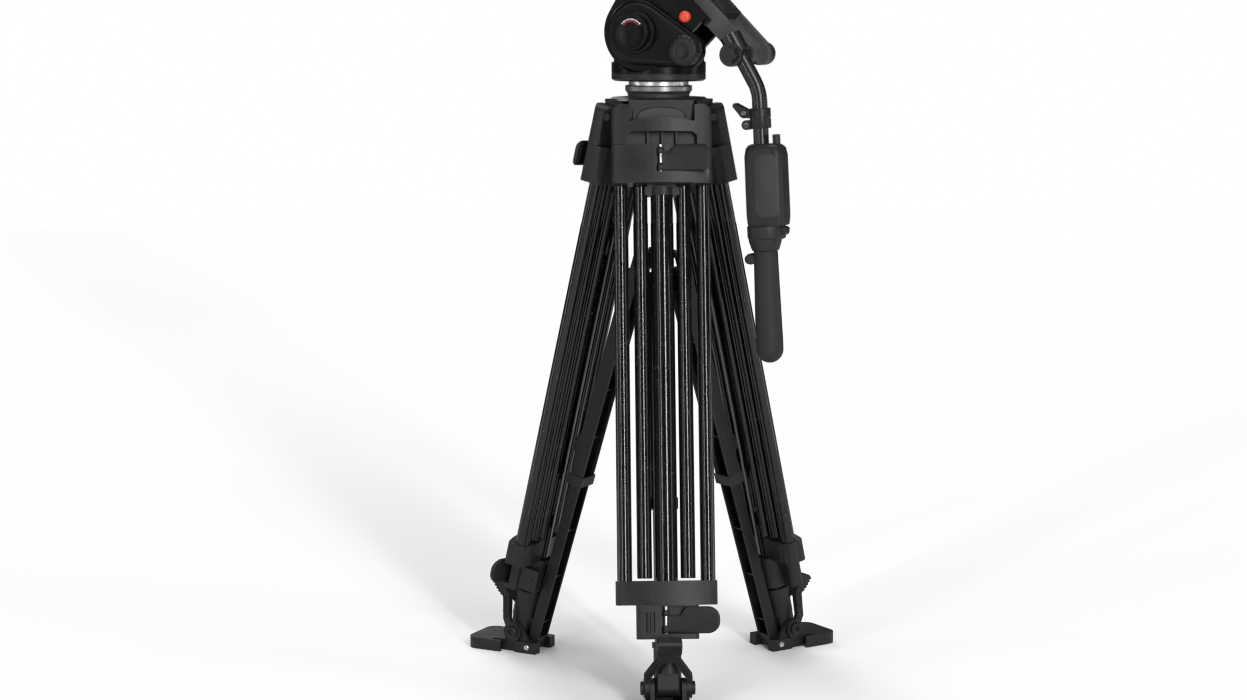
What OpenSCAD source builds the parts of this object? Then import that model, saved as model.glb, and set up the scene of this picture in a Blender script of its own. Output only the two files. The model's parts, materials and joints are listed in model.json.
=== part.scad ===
/* [Stance] */
// Lean of each leg away from vertical, in degrees
leg_tilt = 13.1; // [12.8:0.1:13.4]
// Radius of the circle through the three leg pivots
pivot_r = 38; // [37.5:0.5:38.5]
// Height of the leg pivots above the floor
pivot_z = 642; // [641:0.5:643]
// Distance down a leg from its pivot to its ankle pin
ankle_s = 634; // [633:0.5:635]
// Height of the bowl's rim above the floor
rim_z = 677; // [676.5:0.5:677.5]
// Turn of the fluid head about the pan axis, in degrees
head_yaw = -27; // [-90:1:90]
// Tilt of the camera platform, rear end down, in degrees
cradle_tilt = 45; // [30:1:45]

/* [Leg tubes] */
// Outer radius of the paired tubes
tube_r = 8; // [7.5:0.1:8.5]
// Outer radius of the single lowest tube
lower_tube_r = 12.5; // [12:0.1:13]
// Wall of every leg tube
tube_wall = 1.4; // [1:0.1:2]
// Half distance between the upper tubes
upper_x = 24; // [23.5:0.5:24.5]
// Half distance between the middle tubes
middle_x = 46; // [45:0.5:47]

/* [Leg castings] */
// Width of the bracket and of the top clamp
casting_w = 112; // [110:1:112]
// Height of the bracket's ears above the pivot
ear_rise = 12; // [10:0.5:12]
// Distance from the pivot to the bracket's lower end
bracket_end = 33.5; // [33:0.5:33.5]
// Width of the band across the foot of the middle tubes
band_w = 110; // [108:1:112]
// Distance from the pivot to the lower clamp's end
lower_clamp_end = 580; // [578:1:581]

/* [Feet] */
// Radius of the shoe's outer edge from the tripod's axis
shoe_out = 242; // [240:1:244]
// Width of the shoe's tread
shoe_w = 60; // [56:1:64]
// Thickness of the shoe
shoe_t = 13; // [13:0.5:14]
// Height of the pedal above the ankle pin
pedal_h = 66; // [64:1:67]

/* [Spreader] */
// Width of the lower channel of an arm
lower_arm_w = 23; // [22.5:0.5:23]
// Width of the upper channel of an arm
upper_arm_w = 28; // [28:0.5:29]
// Height of the spreader's hub above the floor
hub_z = 484; // [478:1:488]

/* [Head] */
// Radius of the levelling half ball
ball_r = 34; // [33.8:0.1:34]
// Radius of the pan base
base_r = 53.5; // [52:0.5:54]
// Height of the tilt axis above the bowl's rim
tilt_z = 60; // [60:0.5:62]
// Length of the camera plate
plate_len = 104; // [90:1:110]
// Radius of the pan bar
bar_r = 8.5; // [8:0.1:8.8]

/* [Hidden] */
$fn = 48;
front = 0;
right = 1;
left = 2;
casting_grey = [0.19, 0.19, 0.2];
casting_dark = [0.13, 0.13, 0.14];
gloss_black = [0.05, 0.05, 0.06];
rubber_grey = [0.16, 0.16, 0.17];
bright_steel = [0.75, 0.75, 0.76];
button_orange = [0.85, 0.2, 0.1];
run = 0.06; // radial clearance of a running fit
eps = 1;    // overlap of a cut beyond the surface it opens

// Feet: the outline is centred on the origin, so the tripod's axis stands behind it. The
// outline runs from the front shoe to the tip of the rear legs' lower levers
shoe_corner = 12;
low_lever_s = [545, 574];
low_tip = [54, -27];
low_tip_r = 2.4;
lever_radius = pivot_r + low_lever_s[1] * sin(leg_tilt) - low_tip[1] * cos(leg_tilt);
rear_reach = lever_radius * sin(30) + low_tip[0] * cos(30) + low_tip_r;
axis_y = (shoe_out - rear_reach) / 2;
ankle_r = pivot_r + ankle_s * sin(leg_tilt);
ankle_z = pivot_z - ankle_s * cos(leg_tilt);
ankle_pin_r = 4;
hinge_r = ankle_r - 18.7;
hinge_z = 7;
hinge_pin_r = 3;
tongue_w = 29.2;
cheek_x = 15;
cheek_t = 5;

// Spreader
hub_reach = 20;
arm_len = norm([hinge_r - hub_reach, hub_z - hinge_z]);
arm_tilt = atan2(hinge_r - hub_reach, hub_z - hinge_z);
arm_wall = 2;
collar_u = 210;
knob_u = 258;
fork_u = arm_len - 20;
fork_x = 9.6;        // inner faces of the forks that hold the hub
hub_lug_r = 4.5;
hub_play = 5.4;      // side play of the hub's lugs in the right and left forks
hub_pin_r = 2.5;

// Leg castings: distances are counted down the leg from its pivot
top_clamp_s = [34, 77];
band_s = [517, 543];
boss_r = 10;
front_y = -25;
bow = 8;

// Crown and bowl
lug_r = 12;
lug_w = 72;
leg_pin_r = 4;
ring_h = 13;
bowl_z = rim_z + 2;
shell_r = ball_r + 5.5;
roof_h = 4;
stud_r = 5;

// Head: positions are counted from the bowl's rim on the pan axis, with X to the rear
base_z = 5;
turn_z = 14;
deck_z = 26;
tilt_x = -4;
axle_r = 12;
wall_y = 36;
wall_t = 8;
drum_r = 44;
cover_y = wall_y + wall_t + 0.4;
cover_t = 10;
lobe = [57, 40];
lobe_r = 19;
platform_z = 77;
platform_rear = 98;
platform_front = -62;
platform_w = 64;
plate_w = 50;
rosette = [100, 66];
rosette_face = 40;   // distance of the cradle's rosette faces from the middle
rosette_r = 13;
bar_y = -53;
disc_y = bar_y - 12.8;   // outer face of the bar's own rosette
bar_bend_r = 45;
bend_lap = 3;       // degrees that the bend runs on inside each straight
bend_inset = 0.15;  // how far the bend's surface lies inside the straights'
bar_slope = 60;
handle_lean = 3;
bar_top = [109, 55];
bar_x = 143;
housing_h = [47, 136];
grip_h = [164, 288];
wheel_at = [-17, 0, -grip_h[0] - 9];
wheel_pin_r = 1.4;

// Frames
module on_leg(i) // origin on the leg's pivot, X across the leg, -Y outwards, -Z down the leg
    translate([0, axis_y, 0]) rotate(120 * i) translate([0, -pivot_r, pivot_z])
        rotate([-leg_tilt, 0, 0]) children();

module on_foot(i) // origin on the floor under the tripod's axis, the leg towards -Y
    translate([0, axis_y, 0]) rotate(120 * i) children();

module on_arm(i) // origin on the shoe's hinge pin, Z up the arm, -Y outwards
    on_foot(i) translate([0, -hinge_r, hinge_z]) rotate([-arm_tilt, 0, 0]) children();

module on_head() // origin on the pan axis at the rim, X to the rear, -Y to the left side
    translate([0, axis_y, rim_z]) rotate(head_yaw) children();

module on_cradle() // origin on the tilt axis, X to the rear along the platform
    on_head() translate([tilt_x, 0, tilt_z]) rotate([0, cradle_tilt, 0]) children();

module on_handle() // origin where the bar's bend ends, -Z down the handle
    on_head() translate([bar_x, bar_y, bend_end_z()]) rotate([0, -handle_lean, 0]) children();

function bend_turn() = 90 - bar_slope - handle_lean;
function bend_start_x() = bar_x - bar_bend_r * (cos(handle_lean) - sin(bar_slope));
function bend_start_z() = bar_top[1] - (bend_start_x() - bar_top[0]) * tan(bar_slope);
function bend_end_z() = bend_start_z() - bar_bend_r * (cos(bar_slope) - sin(handle_lean));

// Shared shapes
module along(s0, s1, r) translate([0, 0, -s1]) cylinder(r = r, h = s1 - s0);

module pair(x) for (side = [-1, 1]) translate([side * x, 0, 0]) children();

module across(r, w) rotate([0, 90, 0]) cylinder(r = r, h = w, center = true);

module side_rod(r, y0, y1) translate([0, y1, 0]) rotate([90, 0, 0]) cylinder(r = r, h = y1 - y0);

module rounded(r) offset(r) offset(delta = -r) children();

module tube(s0, s1, r) difference() {
    along(s0, s1, r);
    along(s0 - eps, s1 + eps, r - tube_wall);
}

// Plan of a leg casting: bowed front, short square sides that end at side_y, chamfered back
bow_steps = 12;
function bowed(w, front, back, side_y, chamfer) = concat(
    [for (k = [0 : bow_steps]) let (u = 2 * k / bow_steps - 1) [u * w / 2, front + bow * u * u]],
    [[w / 2, side_y], [w / 2 - chamfer, back], [chamfer - w / 2, back], [-w / 2, side_y]]);

module casting(s0, s1, w, front, back, side_y = -6, chamfer = 14)
    translate([0, 0, -s1]) linear_extrude(s1 - s0)
        rounded(5, $fn = 24) polygon(bowed(w, front, back, side_y, chamfer));

// Flip lever: a knuckle on an upright pin and a paddle that sweeps to +X, standing off at its tip
module flip_lever(s0, s1, hinge, tip, end_r) {
    h = s1 - s0;
    knuckle_r = 3.8;
    translate([0, 0, -s1]) difference() {
        intersection() {
            linear_extrude(h) hull($fn = 32) {
                translate(hinge) circle(knuckle_r);
                translate(tip) circle(low_tip_r);
            }
            translate([hinge[0] - knuckle_r, 0, 0]) rotate([90, 0, 0])
                linear_extrude(100, center = true) union() {
                    square([tip[0] - hinge[0] - end_r, h]);
                    translate([0, end_r]) square([tip[0] + knuckle_r + 3, h - 2 * end_r]);
                    translate([tip[0] - hinge[0] - end_r, 0]) rounded(end_r)
                        translate([-end_r, 0]) square([3 * end_r - 1, h]);
                }
        }
        translate([hinge[0], hinge[1], -eps]) cylinder(r = lever_pin_r + run, h = h + 2 * eps);
    }
}
lever_pin_r = 1.6;
top_lever_s = [35, 64];
top_hinge = [-2, -22.5];
low_hinge = [-2, -17.5];

// Leg
module leg_bracket(i) color(casting_grey) on_leg(i) {
    slot_w = lug_w + 1;
    lip_y = -17.5;
    lip_rise = -4;
    lip_r = 166;
    ear_r = 12;
    difference() {
        intersection() {
            casting(-ear_rise, bracket_end, casting_w, front_y, 8);
            rotate([90, 0, 90]) linear_extrude(casting_w + 2, center = true) union() {
                rounded(9) translate([-26, -40]) square([36, 40 + ear_rise]);
                translate([-26, -bracket_end - eps]) square([36, bracket_end]);
            }
            rotate([90, 0, 0]) linear_extrude(60, center = true) union() {
                rounded(ear_r) translate([-casting_w / 2, -60]) square([casting_w, 60 + ear_rise]);
                translate([-casting_w / 2, -bracket_end - eps]) square([casting_w, 20]);
            }
        }
        translate([-slot_w / 2, lip_y, -lug_r - eps]) cube([slot_w, 60, 60]);
        translate([0, lip_y + eps, 0]) rotate([90, 0, 0]) linear_extrude(20) difference() {
            translate([-slot_w / 2, lip_rise - 5]) square([slot_w, 30]);
            translate([0, lip_rise - lip_r]) circle(lip_r, $fn = 180);
        }
        translate([0, -12, 0]) rotate([90, 0, 0]) linear_extrude(20)
            polygon([[-39, -bracket_end - eps], [-39, -24], [-34, -19.5], [34, -19.5], [39, -24],
                [39, -bracket_end - eps]]);
        translate([-31, -8, -bracket_end - eps]) cube([62, 30, 12]);
        across(leg_pin_r, casting_w + 2);
        pair(upper_x) along(14, bracket_end + eps, tube_r);
    }
    for (x = [-16, 0, 16]) translate([x - 0.8, -18, -bracket_end + 0.5]) cube([1.6, 6.5, 14]);
    across(leg_pin_r, casting_w - 2);
}

module upper_tubes(i) color(gloss_black) on_leg(i) pair(upper_x) tube(14, 514, tube_r);

module top_clamp(i) color(casting_grey) on_leg(i) {
    recess_y = -18;
    difference() {
        casting(top_clamp_s[0], top_clamp_s[1], casting_w, front_y, 10, 0, 6);
        pair(upper_x) along(top_clamp_s[0] - eps, top_clamp_s[1] + eps, tube_r + run);
        pair(middle_x) along(62, top_clamp_s[1] + eps, tube_r);
        translate([-7, recess_y - 22, -top_lever_s[1] - 0.5]) cube([80, 22, 60]);
        translate([top_hinge[0], top_hinge[1], 0]) along(top_lever_s[0], top_lever_s[1] + 4, lever_pin_r);
    }
    translate([top_hinge[0], top_hinge[1], 0]) along(top_lever_s[0], top_lever_s[1] + 4, lever_pin_r);
}

module top_lever(i) color(casting_grey) on_leg(i)
    flip_lever(top_lever_s[0], top_lever_s[1], top_hinge, [50, -31], 5);

module middle_tubes(i) color(gloss_black) on_leg(i) pair(middle_x) tube(62, 533, tube_r);

module lower_clamp(i) color(casting_grey) on_leg(i) {
    body_w = 68;
    sleeve_r = 17.5;
    lug_x = [17, 29];
    pocket_s = [551, 573];
    difference() {
        union() {
            casting(band_s[0], band_s[1], band_w, front_y + 3, 10);
            pair(middle_x) along(band_s[0], band_s[1], boss_r);
            translate([-body_w / 2, -20, -lower_clamp_end])
                linear_extrude(lower_clamp_end - band_s[1]) rounded(5) square([body_w, 17]);
            along(band_s[1] - eps, lower_clamp_end, sleeve_r);
            translate([lug_x[0], -10, 3 - lower_clamp_end]) cube([lug_x[1] - lug_x[0], 30, 27]);
        }
        along(band_s[0] - eps, lower_clamp_end + eps, lower_tube_r + run);
        pair(middle_x) along(band_s[0] - eps, 533, tube_r);
        translate([-7, -40, -low_lever_s[1] - 0.5])
            cube([80, 26.3, low_lever_s[1] - low_lever_s[0] + 1]);
        translate([low_hinge[0], low_hinge[1], 0])
            along(low_lever_s[0] - 3, low_lever_s[1] + 3, lever_pin_r);
        translate([-29, -20 - eps, -pocket_s[1]]) cube([15, 5, pocket_s[1] - pocket_s[0]]);
        translate([lug_x[0] + 4, 2, -lower_clamp_end]) cube([4, 20, 36]);
    }
    translate([-21, -16, 0]) along(pocket_s[0] - eps, pocket_s[1] + eps, 2.6);
    translate([(lug_x[0] + lug_x[1]) / 2, 13, -563]) across(2.2, 14);
    translate([low_hinge[0], low_hinge[1], 0]) along(low_lever_s[0] - 3, low_lever_s[1] + 3, lever_pin_r);
}

module lower_lever(i) color(casting_grey) on_leg(i)
    flip_lever(low_lever_s[0], low_lever_s[1], low_hinge, low_tip, 13);

module inner_tube(i) color(gloss_black) on_leg(i) {
    tube(84, 600, lower_tube_r);
    difference() {
        union() {
            along(79.5, 89, lower_tube_r + 2);
            translate([-19.5, -9, -89]) cube([39, 18, 9.5]);
        }
        along(84, 90, lower_tube_r);
        pair(upper_x) along(78, 90, tube_r + 0.4);
    }
}

module ankle(i) color(casting_grey) on_leg(i) difference() {
    barrel_r = 15;
    union() {
        along(584, 590, barrel_r + 1.5);
        along(590, 618, barrel_r);
        intersection() {
            along(612, ankle_s + 12, barrel_r);
            translate([0, 0, -ankle_s]) union() {
                across(10, tongue_w);
                translate([-tongue_w / 2, -10, 0]) cube([tongue_w, 20, 30]);
            }
        }
    }
    along(583, 600, lower_tube_r);
    translate([0, 0, -ankle_s]) across(ankle_pin_r + run, tongue_w + 4);
}

module shoe(i) color(rubber_grey) on_foot(i) {
    waist_w = 48;
    tread_in = 196;
    inner = hinge_r - 12;
    difference() {
        union() {
            translate([0, -(shoe_out + tread_in) / 2, 0]) linear_extrude(shoe_t) union() {
                pair(shoe_w / 2 - shoe_corner) translate([0, tread_in / 2 - shoe_out / 2 + shoe_corner])
                    circle(shoe_corner);
                square([shoe_w - 2 * shoe_corner, shoe_out - tread_in], center = true);
                translate([0, shoe_corner / 2])
                    square([shoe_w, shoe_out - tread_in - shoe_corner], center = true);
            }
            translate([-waist_w / 2, -tread_in - eps, 0]) cube([waist_w, tread_in + eps - inner, shoe_t]);
            pair(cheek_x + cheek_t / 2) translate([0, -ankle_r, 0]) rotate([90, 0, 90])
                linear_extrude(cheek_t, center = true) hull($fn = 32) {
                    translate([0, ankle_z]) circle(11);
                    translate([-13, shoe_t - eps]) square([32, eps]);
                }
        }
        translate([0, -hinge_r, hinge_z]) across(hinge_pin_r, waist_w + 2);
        translate([-13, -hinge_r - 10, -eps]) cube([26, 30, shoe_t + 2 * eps]);
        translate([0, -ankle_r, ankle_z]) across(ankle_pin_r, 60);
        translate([-tongue_w / 2 - 0.4, -ankle_r - 14, 5]) cube([tongue_w + 0.8, 24, 30]);
        pair(23.3) translate([0, -ankle_r - 12, 6]) cube([7.4, 30, 20], center = true);
    }
    translate([0, -hinge_r, hinge_z]) across(hinge_pin_r, waist_w + 1);
    translate([0, -ankle_r, ankle_z]) across(ankle_pin_r, 54);
}

paddle_face = -5;
flare = [40, 6]; // height where the paddle starts to flare, and how far it flares
function paddle_y(z) = paddle_face - flare[1] * max(0, z - flare[0]) / (pedal_h - flare[0]);

// Pedal: a fork that straddles the shoe's cheeks, a waist and a flared, ribbed paddle, leaning outwards
module pedal(i) color(rubber_grey) on_foot(i) translate([0, -ankle_r, ankle_z]) {
    lean = 20;
    prong_x = cheek_x + cheek_t + 0.3;
    prong_t = 6;
    waist = 11;
    half = 13.5;
    outer = prong_x + prong_t;
    back = 2.5;
    difference() {
        union() {
            rotate([lean, 0, 0]) intersection() {
                rotate([90, 0, 0]) linear_extrude(60, center = true) difference() {
                    rounded(3) polygon([[-outer, -4], [-outer, 18], [-waist, 42], [-half, 52], [-half, pedal_h],
                        [half, pedal_h], [half, 52], [waist, 42], [outer, 18], [outer, -4]]);
                    rounded(3) polygon([[-prong_x, -20], [-prong_x, 16], [-6, 37], [6, 37],
                        [prong_x, 16], [prong_x, -20]]);
                }
                rotate([90, 0, 90]) linear_extrude(3 * outer, center = true) polygon(concat(
                    [[paddle_face, -5], [back, -5], [back, pedal_h], [paddle_y(pedal_h) + 2, pedal_h]],
                    [for (k = [4 : -1 : 0], tooth = [[0, 2], [1.3, 1.4], [1.3, 0], [0, -0.6]])
                        let (z = 46 + 4 * k + tooth[1]) [paddle_y(z) - tooth[0], z]]));
            }
            pair(prong_x + prong_t / 2) across(11, prong_t - 0.6);
        }
        across(ankle_pin_r + run, 80);
    }
}

// Spreader
module channel(u0, u1, w, y0, y1) translate([0, 0, u0]) linear_extrude(u1 - u0) difference() {
    translate([-w / 2, y0]) square([w, y1 - y0]);
    translate([-w / 2 + arm_wall, y0 + arm_wall]) square([w - 2 * arm_wall, y1 - y0]);
}

module arm_lower(i) color(casting_dark) on_arm(i) {
    half_d = 6.7;
    rib_pitch = 60;
    difference() {
        union() {
            channel(5, 470, lower_arm_w, -half_d, half_d);
            for (u = [30 : rib_pitch : 460])
                translate([0, -1, u]) cube([lower_arm_w - 1, 2 * half_d - 4, 2], center = true);
            across(6, 25);
            translate([-lower_arm_w / 2, -half_d, 4]) cube([lower_arm_w, 2 * half_d, 8]);
        }
        across(hinge_pin_r + run, 30);
        for (u = [30 : rib_pitch : 400])
            translate([-3, -half_d - eps, u + 8]) cube([6, 4, rib_pitch - 16]);
    }
}

module arm_upper(i) color(casting_dark) on_arm(i) {
    y0 = -9;
    y1 = 8;
    fork_t = 3.5;
    difference() {
        union() {
            channel(collar_u + 4, fork_u, upper_arm_w, y0, y1);
            translate([-upper_arm_w / 2 - 1.5, y0 - 1.5, collar_u])
                cube([upper_arm_w + 3, y1 - y0 + 3, 12]);
            pair(fork_x + fork_t / 2) translate([0, 0, arm_len]) {
                across(hub_lug_r, fork_t);
                translate([-fork_t / 2, -hub_lug_r, -24]) cube([fork_t, 2 * hub_lug_r, 24]);
            }
            pair(11.7) translate([-2.2, -7.2, fork_u - 5]) cube([4.4, 14.4, 5]);
        }
        translate([-lower_arm_w / 2 - 0.3, -7, collar_u - eps]) cube([lower_arm_w + 0.6, 14.2, 275]);
        translate([0, 0, arm_len]) across(hub_pin_r, 40);
        translate([0, 0, knob_u]) side_rod(2.5, -20, 0);
    }
    translate([0, 0, arm_len]) if (i == front) across(hub_pin_r, 2 * (fork_x + fork_t) + 1);
    else pair(fork_x + fork_t / 2) across(hub_pin_r, fork_t + 1);
}

module arm_knob(i) color(casting_dark) on_arm(i) translate([0, 0, knob_u]) difference() {
    union() {
        side_rod(13, -15, -9.2);
        side_rod(2.4, -12, -7.1);
    }
    for (k = [0 : 11]) rotate([0, 30 * k, 0]) translate([14.2, 0, 0]) side_rod(2.2, -16, -9);
}

module spreader_hub() color(casting_grey) translate([0, axis_y, hub_z]) difference() {
    union() {
        translate([0, 0, -8]) cylinder(r = 11, h = 16);
        for (i = [front, right, left]) rotate(120 * i) {
            w = 2 * (fork_x - (i == front ? 0.3 : hub_play));
            translate([0, -hub_reach, 0]) across(hub_lug_r, w);
            translate([-w / 2, -hub_reach, -hub_lug_r]) cube([w, hub_reach, 2 * hub_lug_r]);
        }
    }
    translate([0, -hub_reach, 0]) across(hub_pin_r + run, 30);
    translate([0, 0, -9]) cylinder(r = 5, h = 18);
}

// Crown
module crown() color(casting_dark) translate([0, axis_y, 0]) {
    top = rim_z - ring_h;
    difference() {
        union() {
            intersection() {
                translate([0, 0, bowl_z]) sphere(r = shell_r);
                translate([0, 0, top - 50]) cylinder(r = 60, h = 50);
            }
            translate([0, 0, top - roof_h]) linear_extrude(roof_h, scale = 0.9) circle(58, $fn = 6);
            for (i = [front, right, left]) rotate(120 * i) translate([0, -pivot_r, pivot_z]) {
                across(lug_r, lug_w);
                translate([-lug_w / 2, -lug_r, 0]) cube([lug_w, 22, top - roof_h / 2 - pivot_z]);
            }
        }
        translate([0, 0, bowl_z]) sphere(r = ball_r + run);
        translate([0, 0, bowl_z - 60]) cylinder(r = 12, h = 60);
        for (i = [front, right, left]) rotate(120 * i) translate([0, -pivot_r, pivot_z])
            across(leg_pin_r + run, lug_w + 40);
    }
    for (i = [front, right, left]) rotate(120 * i) translate([0, -pivot_r - lug_r, pivot_z + 5])
        rotate([90, 0, 0]) linear_extrude(2.4) intersection() {
            square([lug_w - 8, 22], center = true);
            translate([0, -69]) circle(80);
        }
    difference() {
        rotate_extrude() polygon([[28, top], [34.5, top], [36, top + 5], [38, top + 7], [38, rim_z - 1],
            [37.3, rim_z], [28, rim_z]]);
        translate([0, 0, bowl_z]) sphere(r = ball_r + run);
    }
}

module half_ball() color(bright_steel) translate([0, axis_y, bowl_z]) {
    intersection() {
        sphere(r = ball_r);
        translate([0, 0, -28]) cylinder(r = 40, h = 28 + base_z - 2);
    }
    translate([0, 0, -78]) cylinder(r = stud_r, h = 50);
}

module tie_down_knob() color(casting_dark) translate([0, axis_y, bowl_z]) difference() {
    union() {
        translate([0, 0, -48]) cylinder(r = 17, h = 17);
        translate([0, 0, -74]) cylinder(r = 12, h = 27);
        translate([0, 0, -92]) cylinder(r = 20, h = 22);
    }
    sphere(r = shell_r + 0.1);
    translate([0, 0, -80]) cylinder(r = stud_r + run, h = 60);
    for (k = [0 : 7]) rotate(45 * k) translate([22, 0, -93]) cylinder(r = 4.5, h = 24);
}

// Head
module pan_base() color(casting_grey) translate([0, axis_y, rim_z]) rotate_extrude()
    polygon([[0, base_z], [base_r - 3, base_z], [base_r, base_z + 2], [base_r, turn_z - 0.2],
        [0, turn_z - 0.2]]);

module head_body() color(casting_dark) on_head() {
    gap = 0.5;
    difference() {
        union() {
            translate([0, 0, turn_z]) cylinder(r = base_r, h = deck_z - turn_z);
            rotate([90, 0, 0]) linear_extrude(2 * wall_y - 2, center = true) hull($fn = 32) {
                translate([tilt_x, tilt_z]) circle(36);
                translate([-40, deck_z - eps]) square([82, eps]);
            }
        }
        translate([tilt_x, 0, tilt_z]) side_rod(axle_r, -60, 60);
        for (y = [-60, wall_y - gap]) translate([tilt_x, 0, tilt_z])
            side_rod(drum_r + gap, y, y + 60 - wall_y + gap);
        translate([-60, -60, lobe[1] - lobe_r - gap]) cube([120, 60 - cover_y + gap, 20]);
    }
    translate([tilt_x, 0, tilt_z]) side_rod(axle_r, -cover_y, cover_y);
}

module side_covers() color(gloss_black) on_head() {
    translate([0, -cover_y, 0]) rotate([90, 0, 0]) linear_extrude(cover_t) hull($fn = 64) {
        translate([tilt_x, tilt_z]) circle(36);
        translate(lobe) circle(lobe_r);
    }
    translate([0, cover_y + cover_t, 0]) rotate([90, 0, 0]) linear_extrude(cover_t)
        translate([tilt_x, tilt_z]) circle(36);
}

module drag_dial() color(casting_dark) on_head() translate([tilt_x, 0, tilt_z]) {
    back = -cover_y - cover_t - 0.2;
    difference() {
        union() {
            side_rod(24, back - 5, back);
            side_rod(20, back - 15, back - 4);
        }
        for (k = [0 : 23]) rotate([0, 15 * k, 0]) translate([20.8, 0, 0]) side_rod(1.5, back - 16, back - 6);
    }
}

module lock_knob() color(casting_grey) on_head() translate([lobe[0], 0, lobe[1]]) {
    back = -cover_y - cover_t - 0.2;
    difference() {
        side_rod(17.5, back - 14, back);
        for (k = [0 : 15]) rotate([0, 22.5 * k, 0]) translate([19, 0, 0])
            side_rod(2.4, back - 15, back + eps);
    }
}

drum_length = 110;
module cradle_wall() difference() {
    rotate([90, 0, 0]) linear_extrude(wall_t, center = true) hull($fn = 64) {
        circle(drum_r);
        translate([platform_front + 4, 50]) square([drum_length - 8, 17]);
    }
    side_rod(axle_r + run, -20, 20);
}

module cradle() color(casting_grey) on_cradle() {
    platform_h = [58, 72];
    rail_top = 80;
    difference() {
        union() {
            for (y = [-1, 1]) translate([0, y * (wall_y + wall_t / 2), 0]) cradle_wall();
            translate([platform_front, -wall_y - eps, platform_h[0]])
                cube([drum_length, 2 * wall_y + 2 * eps, 9]);
            translate([platform_front, -platform_w / 2, platform_h[0]])
                cube([platform_rear - platform_front, platform_w, platform_h[1] - platform_h[0]]);
            for (y = [-platform_w / 2, plate_w / 2 + 0.4]) translate([platform_front, y, platform_h[0]])
                cube([platform_rear - platform_front, platform_w / 2 - plate_w / 2 - 0.4,
                    rail_top - platform_h[0]]);
            for (y = [-1, 1]) translate([rosette[0], y * (rosette_face - 10), rosette[1]])
                side_rod(rosette_r, -10, 10);
        }
        translate([button_at[0], 0, button_at[1]]) side_rod(6.6, -60, -wall_y - 1);
    }
}
button_at = [27, 51];

module release_button() color(button_orange) on_cradle() translate([button_at[0], 0, button_at[1]])
    side_rod(6.5, -wall_y - wall_t - 6, -wall_y - 4.5);

module camera_plate() color(casting_dark) on_cradle() {
    low = platform_z - 4.8;
    plate_t = 10;
    difference() {
        translate([-plate_len / 2, -plate_w / 2, low]) cube([plate_len, plate_w, plate_t]);
        for (screw = screws) translate([screw[0], 0, low - eps]) cylinder(r = screw[1], h = plate_t + 2);
    }
    for (screw = screws) translate([screw[0], 0, low + 0.5])
        cylinder(r = screw[1], h = plate_t - 0.5 + screw_out);
}
screw_out = 5.5;
screws = [[-16, 3.175], [18, 4.7625]]; // quarter inch and three eighths inch camera screws

// Pan bar
module pan_bar() color(gloss_black) {
    on_cradle() translate([rosette[0], 0, rosette[1]]) side_rod(rosette_r, disc_y, -rosette_face - 0.2);
    on_head() translate([0, bar_y, 0]) {
        reach = norm([bend_start_x() - bar_top[0], bend_start_z() - bar_top[1]]);
        translate([bar_top[0], 0, bar_top[1]]) rotate([0, 90 + bar_slope, 0]) {
            cylinder(r = bar_r, h = reach);
            translate([0, 0, -2]) cylinder(r = bar_r + 3.5, h = 22);
        }
        translate([bar_x - bar_bend_r * cos(handle_lean), 0, bend_end_z() - bar_bend_r * sin(handle_lean)])
            rotate([-90, 0, 0]) rotate(-handle_lean - bend_turn() - bend_lap)
                rotate_extrude(angle = bend_turn() + 2 * bend_lap)
                    translate([bar_bend_r, 0]) circle(bar_r - bend_inset);
    }
    on_handle() along(0, grip_h[0] + 10, bar_r);
}

module rosette_knob() color(casting_dark) on_cradle() translate([rosette[0], 0, rosette[1]]) difference() {
    side_rod(9, disc_y - 7, disc_y - 0.2);
    for (k = [0 : 5]) rotate([0, 60 * k, 0]) translate([11, 0, 0]) side_rod(3.6, disc_y - 8, disc_y - 2);
}

module remote_clamp() color(casting_dark) on_handle() difference() {
    union() {
        along(8, 30, bar_r + 3);
        translate([-22, -5, -16]) cube([16, 10, 7]);
        translate([-27, 0, -11]) rotate([0, -35, 0]) cube([9, 8, 16], center = true);
        translate([-14, 0, -26]) side_rod(5.5, -5, 5);
        translate([-14, -5, -30]) cube([10, 10, 8]);
    }
    along(0, 40, bar_r + run);
}

module remote_housing() color(casting_dark) on_handle() {
    half = [22, 17];
    difference() {
        union() {
            translate([5, 0, -housing_h[1]]) linear_extrude(housing_h[1] - housing_h[0])
                rounded(9) square(2 * half, center = true);
            translate([2, 0, -housing_h[1] - 15]) cylinder(r = 21, h = 15);
            translate([0, 0, -grip_h[0]]) cylinder(r1 = 15, r2 = 18, h = 14);
            translate([14, -5, -housing_h[0]]) cube([8, 9, 11]);
        }
        along(0, 200, bar_r);
    }
}

module zoom_wheel() color(rubber_grey) on_handle() translate(wheel_at) difference() {
    side_rod(6, -5, 5);
    side_rod(wheel_pin_r + run, -6, 6);
}

module grip() color(rubber_grey) on_handle() {
    difference() {
        union() {
            along(grip_h[0] + 0.2, grip_h[1] - 15, 15);
            translate([0, 0, 15 - grip_h[1]]) sphere(r = 15);
            translate(wheel_at) side_rod(5.2, -8, 8);
        }
        along(grip_h[0] - eps, grip_h[0] + 10, bar_r);
        translate(wheel_at) side_rod(6.4, -5.3, 5.3);
    }
    translate(wheel_at) side_rod(wheel_pin_r, -7, 7);
}

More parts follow.
